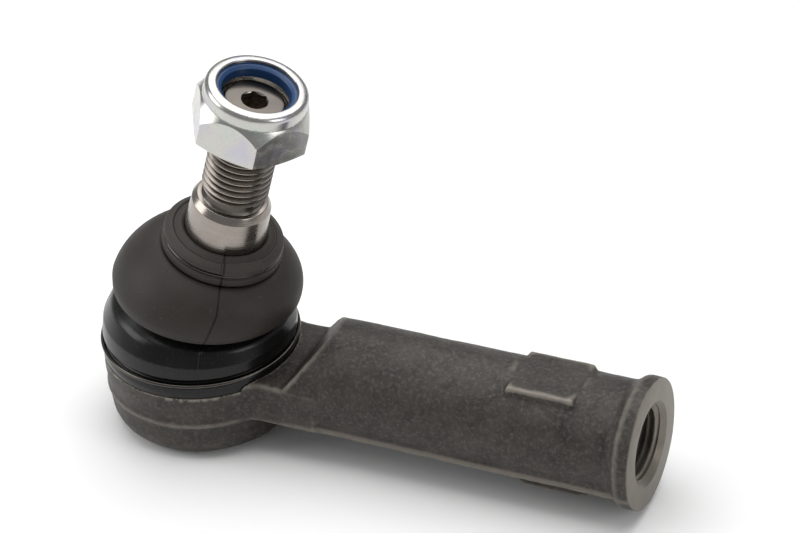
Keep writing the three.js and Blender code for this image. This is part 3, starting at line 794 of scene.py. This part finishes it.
def mark_edges(piece):
    """Writes an attribute, standing_out: how far each point stands out from its neighbours, where
    1 is the reach or more."""
    reach = 0.035 * MILLIMETRE
    bm = bmesh.new()
    bm.from_mesh(piece.data)
    bm.verts.ensure_lookup_table()
    height = []
    for vert in bm.verts:
        around = [edge.other_vert(vert).co for edge in vert.link_edges]
        middle = sum(around, Vector()) / len(around)
        height.append((vert.co - middle).dot(vert.normal) / reach)
    # Each height is evened out with those of its neighbours.
    groups = [[vert] + [edge.other_vert(vert) for edge in vert.link_edges] for vert in bm.verts]
    for _ in range(2):
        height = [sum(height[vert.index] for vert in group) / len(group) for group in groups]
    bm.free()
    layer = piece.data.attributes.new("standing_out", "FLOAT", "POINT")
    layer.data.foreach_set("value", [min(max(value, 0), 1) for value in height])


def cup_neck_piece():
    """The cup's mouth, which the boot's foot is stretched over. Its outer corner is cut back to
    leave the boot's lower lobe room when the stud leans."""
    bore, shelf = 15.05, 6.95
    outline = rounded(
        [
            (bore, RIM - 1),
            (17, RIM - 1),
            (17, 5.8, 0.5),
            (14.8, 8.2, 0.5),
            (11.9, 8.3, 0.4),
            (10.95, shelf),
            (bore, shelf),
        ]
    )
    piece = finished("cup_neck", turned(outline, closed=True), [FORGED])
    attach(piece, "housing")


# ---- ball stud and nut


def stud_piece():
    neck_foot = math.sqrt(BALL_RADIUS**2 - NECK_RADIUS**2)
    neck_angle = math.degrees(math.asin(neck_foot / BALL_RADIUS))
    collar = TAPER_LARGE + 0.36
    relief = STUD_ROOT + 0.1
    past_crest = STUD_CREST + 0.3
    outline = rounded(
        [
            (0, -BALL_RADIUS),
            *arc((0, 0), BALL_RADIUS, -88, neck_angle, 40),
            (NECK_RADIUS, neck_foot + 4, 3),
            (TAPER_LARGE - 0.3, COLLAR_FOOT - 0.6, 1),
            (collar, COLLAR_FOOT, 0.2),
            (collar, TAPER_FOOT - 0.36, 0.2),
            (TAPER_LARGE, TAPER_FOOT),
            (TAPER_SMALL, TAPER_TOP, 0.25),
            (STUD_CREST + 0.35, TAPER_TOP + 1.35, 0.3),
            (STUD_CREST - 0.55, TAPER_TOP + 1.5, 0.2),
            (relief, TAPER_TOP + 2.2, 0.4),
            (relief, THREAD_FOOT + 0.6),
            (0, THREAD_FOOT + 0.6),
        ]
    )
    body = turned(outline)
    thread = threaded_bar(STUD_ROOT, STUD_CREST, THREAD_FOOT + 0.2, TIP)
    # The thread runs out at its foot and is chamfered at the tip.
    ends = turned(
        rounded(
            [
                (0, THREAD_FOOT),
                (STUD_ROOT - 0.2, THREAD_FOOT),
                (past_crest, THREAD_FOOT + 1.4),
                (past_crest, TIP - 1.1),
                (STUD_ROOT - 0.1, TIP, 0.25),
                (0, TIP),
            ]
        )
    )
    thread = combined(thread, ends, "INTERSECT")
    body = combined(body, thread, "UNION")
    chamfer_foot, chamfer_top = TIP - 0.4, TIP + 0.6
    chamfer_outline = [(0, chamfer_foot), (2.4, chamfer_foot), (3.4, chamfer_top), (0, chamfer_top)]
    chamfer = turned(chamfer_outline, steps=48)
    key = combined(hex_bar(HEX_KEY, TIP - KEY_DEPTH, TIP + 1), chamfer, "UNION")
    body = combined(body, key, "DIFFERENCE")
    piece = finished("ball_stud_steel", body, [TURNED], ALONG_STUD, crease=28)
    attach(piece, "stud")
    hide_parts("ball_stud")


def nut_piece():
    """A hexagon with chamfered corners under a round collar, whose lip is rolled over the nylon
    ring."""
    flat = NUT_FLATS / 2
    past_corner = NUT_FLATS / math.sqrt(3) + 0.4
    envelope = turned(
        rounded(
            [
                (0, NUT_FOOT),
                (flat - 0.35, NUT_FOOT),
                (past_corner, NUT_FOOT + 1.0),
                (past_corner, NUT_SHELF - 3.25),
                (flat - 0.05, NUT_SHELF + 0.05),
                (flat - 0.3, NUT_SHELF + 0.35),
                (0, NUT_SHELF + 0.35),
            ]
        )
    )
    collar, lip_height, lip_foot = flat - 0.4, NUT_TOP - 0.05, NUT_TOP - 0.8
    collar_outline = rounded(
        [
            (0, NUT_SHELF - 1),
            (collar, NUT_SHELF - 1),
            (collar, lip_height, 1.45),
            (NUT_LIP_RADIUS + 0.1, lip_height, 0.4),
            (NUT_LIP_RADIUS, lip_foot),
            (0, lip_foot),
        ],
        8,
    )
    body = combined(hex_bar(NUT_FLATS, NUT_FOOT - 1, NUT_SHELF + 1), envelope, "INTERSECT")
    body = combined(body, turned(collar_outline), "UNION")
    bore, mouth, pocket = 7.15, 8.1, 8.9
    hollow = turned(
        [
            (0, NUT_FOOT - 1),
            (mouth, NUT_FOOT - 1),
            (mouth, NUT_FOOT),
            (bore, NUT_FOOT + 0.9),
            (bore, NUT_SHELF),
            (pocket, NUT_SHELF),
            (pocket, NUT_TOP - 0.85),
            (NUT_LIP_RADIUS, NUT_TOP - 0.85),
            (NUT_LIP_RADIUS, NUT_TOP + 1),
            (0, NUT_TOP + 1),
        ]
    )
    body = combined(body, hollow, "DIFFERENCE")
    piece = finished("nut_steel", body, [ZINC], ALONG_STUD, crease=28)
    soften(piece, width=0.22, segments=3, angle=28, harden_normals=True)
    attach(piece, "nut")
    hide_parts("nut_body")


def nylon_piece():
    inner, outer, foot, top = 7.05, 8.6, NUT_SHELF + 0.1, NUT_TOP - 0.95
    outline = rounded(
        [
            (inner, foot),
            (outer, foot),
            (outer, top, 0.3),
            (inner + 0.7, top, 0.3),
            (inner, NUT_TOP - 1.5, 0.3),
        ]
    )
    piece = finished("nylon_ring", turned(outline, closed=True), [NYLON], ALONG_STUD)
    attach(piece, "insert")
    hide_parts("nut_insert")


# ---- dust boot


def boot_bead_piece():
    """The boot's foot, with the groove that the lower ring lies in."""
    bore, groove, foot, top = 17.1, 19.95, RIM - 0.9, RING_HEIGHT + 0.75
    outline = rounded(
        [
            (bore, foot),
            (20.5, foot, 0.4),
            (20.6, RIM + 0.5, 0.4),
            (20.45, RING_HEIGHT - 0.65, 0.25),
            (groove, RING_HEIGHT - 0.5, 0.2),
            (groove, RING_HEIGHT + 0.5, 0.2),
            (19.6, top),
            (bore, top),
        ]
    )
    piece = finished("boot_bead", turned(outline, closed=True), [GLOSSY_SHADED_RUBBER])
    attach(piece, "housing")
    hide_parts("boot_base")


def lower_lobe_piece():
    """A thin wall, the outside from the foot up and then the inside back down."""
    outline = rounded(
        [
            (18.2, BOOT_FOOT),
            (19.5, BOOT_FOOT),
            (19.7, BOOT_FOOT + 0.3, 0.2),
            (20.5, BOOT_FOOT + 0.8, 0.5),
            (20.25, 5.9, 1.6),
            (18.7, 9.3, 3),
            (16.3, 10.9, 1.5),
            (15.7, LOBE_TOP),
            (14.6, LOBE_TOP),
            (14.6, 11.8),
            (16.0, 10.1, 0.6),
            (18.0, 8.7, 1.5),
            (19.1, 5.2, 1),
            (19.1, 3.4),
        ],
        7,
    )
    bm = turned(outline, closed=True)
    piece = finished("boot_lower_lobe_skin", bm, [GLOSSY_SHADED_RUBBER], bend=bent_with_stud)
    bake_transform(piece)
    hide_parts("boot_lower_lobe")


def waist_piece():
    outline = rounded(
        [
            (WAIST_INSIDE, WAIST - 0.3),
            (16.4, WAIST - 0.3, 0.4),
            (15.9, 13.2, 0.4),
            (16.6, WAIST_TOP, 0.4),
            (WAIST_INSIDE, WAIST_TOP),
        ]
    )
    bm = turned(outline, closed=True)
    piece = finished("boot_waist_skin", bm, [GLOSSY_SHADED_RUBBER], bend=bent_with_stud)
    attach(piece, "boot_middle")
    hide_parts("boot_waist")


def upper_lobe_piece():
    """A dome from the hem over the waist to the crown, and the inside back down."""
    hem_inside = WAIST_TOP + 0.1
    outline = rounded(
        [
            (17.6, 12.9, 0.3),
            (19.0, 12.3, 0.8),
            *arc(DOME_CENTRE, 11.55, 4, 66, 16),
            (12.0, CROWN + 0.35),
            (11.6, CROWN),
            (CROWN_BORE, CROWN),
            (CROWN_BORE, 22.6),
            *arc(DOME_CENTRE, 9.7, 58, 8, 10),
            (15.2, hem_inside),
            (16.4, hem_inside, 0.4),
        ]
    )
    bm = turned(outline, closed=True)
    piece = finished("boot_upper_lobe_skin", bm, [DULL_RUBBER], bend=bent_with_stud)
    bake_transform(piece)
    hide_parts("boot_upper_lobe")


def lip_piece():
    """The boot's lip on the stud's taper, with the upper ring's groove and a soft edge on top."""
    groove = 12.0
    outline = rounded(
        [
            (8.95, CROWN),
            (11.5, CROWN),
            (12.5, 24.9, 0.5),
            (12.6, 26.4, 0.4),
            (groove, 26.8, 0.1),
            (groove, 27.5, 0.1),
            (12.5, 27.8, 0.3),
            (12.4, 28.6, 0.5),
            (10.9, 29.7, 0.4),
            (10.5, 29.1, 0.3),
            (9.3, 30.1, 0.4),
            (8.62, 29.8, 0.2),
        ]
    )
    piece = finished("boot_lip_skin", turned(outline, closed=True), [DUSTY_RUBBER], ALONG_STUD)
    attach(piece, "boot_collar")
    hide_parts("boot_lip")


def lip_pad_piece():
    """A raised pad on the front of the lip. Its face is left blank."""
    start, sweep, steps = math.radians(-66), math.radians(42), 24
    outline = [(12.1, 27.6), (12.95, 27.8), (12.9, 28.95), (11.2, 30.25), (10.6, 29.3)]
    bm = bmesh.new()
    turn = Matrix.Rotation(start, 3, "Z")
    verts = [bm.verts.new(turn @ Vector((radius, 0, height))) for radius, height in outline]
    loop = [bm.edges.new((verts[i - 1], verts[i])) for i in range(len(verts))]
    bmesh.ops.spin(
        bm, geom=verts + loop, axis=(0, 0, 1), cent=(0, 0, 0), angle=sweep, steps=steps
    )
    rims = [edge for edge in bm.edges if edge.is_boundary]
    bmesh.ops.holes_fill(bm, edges=rims, sides=0)
    bmesh.ops.recalc_face_normals(bm, faces=bm.faces)
    piece = finished("boot_lip_pad", bm, [DUSTY_RUBBER], ALONG_STUD)
    soften(piece, width=0.2, segments=2, angle=40)
    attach(piece, "boot_collar")


def wire_piece(name, radius, height, half_thickness, place, body, node):
    """A retaining ring of round wire."""
    outline = arc((radius, height), half_thickness, 0, 345, 15)
    piece = finished(name, turned(outline, closed=True), [WIRE], place)
    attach(piece, body)
    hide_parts(node)


# ---- end cover


def cover_piece():
    """A pressed disc with a bead round its middle."""
    outline = rounded(
        [
            (0, COVER_FOOT),
            (7.6, COVER_FOOT, 1),
            (8.8, COVER_FOOT + 0.5, 0.8),
            (10, COVER_FOOT, 1),
            (COVER_RADIUS, COVER_FOOT, 0.3),
            (COVER_RADIUS, COVER_TOP, 0.3),
            (0, COVER_TOP),
        ]
    )
    piece = finished("pressed_cover", turned(outline), [SHEET_STEEL])
    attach(piece, "housing")
    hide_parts("end_cover")


# ---- floor, light and camera


def studio():
    """Pale paper under the part, soft light from above and from both sides."""
    floor_gap = 0.0001
    floor_bm = bmesh.new()
    bmesh.ops.create_grid(floor_bm, x_segments=1, y_segments=1, size=3)
    foot = CAD_BOX[0][2] - floor_gap
    bmesh.ops.translate(floor_bm, vec=(0, 0, foot), verts=floor_bm.verts)
    floor = working_object(floor_bm)
    floor.name = "floor"
    paper = bpy.data.materials.new("matt_paper")
    paper.use_nodes = True
    matt = {"Base Color": linear("#f4f4f3"), "Roughness": 0.9}
    feed(paper.node_tree, paper.node_tree.nodes["Principled BSDF"], matt)
    floor.data.materials.append(paper)
    world = bpy.data.worlds.new("studio")
    bpy.context.scene.world = world
    world.use_nodes = True
    room = {"Color": linear("#eef0f2"), "Strength": 0.36}
    feed(world.node_tree, world.node_tree.nodes["Background"], room)
    softbox("overhead", (0.0, 0.16, 0.65), aim=(0.03, 0, 0.03), size=0.9, power=5.6)
    softbox("left_wall", (-0.55, -0.25, 0.35), aim=(0, 0, 0.05), size=0.4, power=1.8)
    softbox("right_strip", (0.6, -0.1, 0.3), aim=(0.03, 0, 0.05), size=0.25, power=0.6)
    bpy.context.scene.view_settings.view_transform = "Standard"


def softbox(name, place, aim, size, power):
    lamp = bpy.data.lights.new(name, "AREA")
    lamp.shape = "SQUARE"
    lamp.size = size
    lamp.energy = power
    thing = bpy.data.objects.new(name, lamp)
    thing.location = place
    facing = (Vector(aim) - Vector(place)).to_track_quat("-Z", "Y")
    thing.rotation_euler = facing.to_euler()
    bpy.context.scene.collection.objects.link(thing)


def camera():
    azimuth, elevation, roll = (math.radians(angle) for angle in (25.87, 34.3, -3.59))
    aim = BALL + Vector((35.4, 24.4, 9.5)) * MILLIMETRE
    distance = 0.75
    lens = bpy.data.cameras.new("camera")
    lens.angle = math.radians(12.77)
    thing = bpy.data.objects.new("camera", lens)
    turn = Matrix.Rotation(azimuth, 4, "Z") @ Matrix.Rotation(math.pi / 2 - elevation, 4, "X")
    turn = turn @ Matrix.Rotation(roll, 4, "Z")
    thing.matrix_world = Matrix.Translation(aim + turn.to_3x3() @ Vector((0, 0, distance))) @ turn
    bpy.context.scene.collection.objects.link(thing)
    bpy.context.scene.camera = thing


camera()
studio()
housing_piece()
cup_neck_piece()
stud_piece()
nut_piece()
nylon_piece()
boot_bead_piece()
lower_lobe_piece()
waist_piece()
upper_lobe_piece()
lip_piece()
lip_pad_piece()
wire_piece("lower_ring_wire", 20.6, RING_HEIGHT, 0.42, TO_METRES, "housing", "boot_lower_ring")
wire_piece("upper_ring_wire", 12.1, 27.15, 0.3, ALONG_STUD, "boot_collar", "boot_upper_ring")
cover_piece()

# What the cup hides keeps its CAD shape, and gets its own finish.
HIDDEN = {"bearing_lower": ACETAL, "bearing_upper": ACETAL, "preload_spring": SHEET_STEEL}
for node, finish in HIDDEN.items():
    frame["nodes"][node].material_slots[0].material = finish
